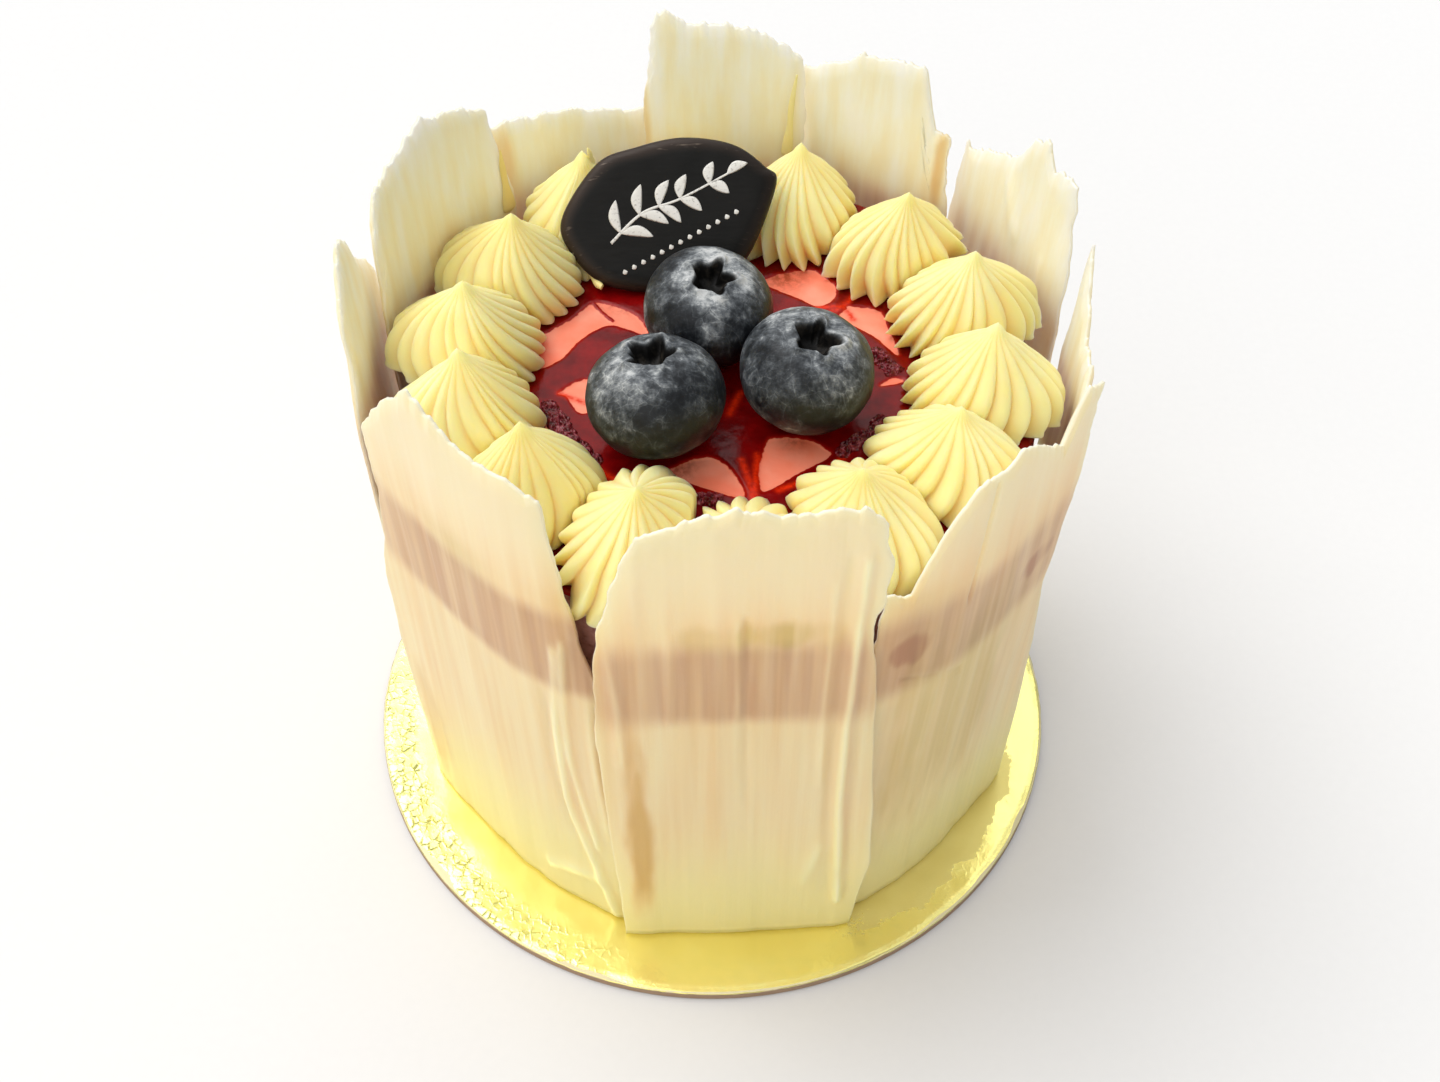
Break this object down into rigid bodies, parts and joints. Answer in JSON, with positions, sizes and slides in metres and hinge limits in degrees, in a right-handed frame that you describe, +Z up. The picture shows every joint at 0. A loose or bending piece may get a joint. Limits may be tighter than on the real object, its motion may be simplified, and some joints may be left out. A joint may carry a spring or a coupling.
{
  "type": "charlotte cake",
  "caption": "Small round charlotte cake on a gold card: upright sheets of white chocolate round a cream and berry mousse cake, with piped cream kisses, blueberries and a dark chocolate plaque.",
  "frame": {"origin": "Middle of the gold card's underside, on the surface that the cake stands on.", "axes": "+Z up. The front of the cake, with the widest sheet of white chocolate, faces -Y; +X is to its right as the picture shows it."},
  "size_m": [0.12, 0.12, 0.1107],
  "materials": {
    "gold_card": "gold foil laminated card, crinkled, with a brown cut edge",
    "cream_coat": "smooth pale cream",
    "berry_mousse": "coral berry mousse under streaks of clear red glaze",
    "piped_cream": "soft satin butter-yellow cream with piped ridges",
    "blueberry": "dark blue skin under an uneven grey bloom",
    "dark_chocolate": "smooth, nearly black, satin",
    "white_chocolate": "translucent ivory with fine vertical scrape marks and ragged broken edges"
  },
  "bodies": {
    "root": {"cake_card": "gold_card", "cake_body": "cream_coat", "berry_mousse": "berry_mousse", "cream_kiss_01": "piped_cream", "cream_kiss_02": "piped_cream", "cream_kiss_03": "piped_cream", "cream_kiss_04": "piped_cream", "cream_kiss_05": "piped_cream", "cream_kiss_06": "piped_cream", "cream_kiss_07": "piped_cream", "cream_kiss_08": "piped_cream", "cream_kiss_09": "piped_cream", "cream_kiss_10": "piped_cream", "cream_kiss_11": "piped_cream", "cream_kiss_12": "piped_cream", "cream_kiss_13": "piped_cream", "cream_kiss_14": "piped_cream", "blueberry_1": "blueberry", "blueberry_2": "blueberry", "blueberry_3": "blueberry", "chocolate_plaque": "dark_chocolate", "sheet_front": "white_chocolate", "sheet_front_right": "white_chocolate", "sheet_right": "white_chocolate", "sheet_rear_right": "white_chocolate", "sheet_back_right": "white_chocolate", "sheet_back": "white_chocolate", "sheet_back_left": "white_chocolate", "sheet_rear_left": "white_chocolate", "sheet_left": "white_chocolate", "sheet_front_left": "white_chocolate"}
  },
  "joints": []
}
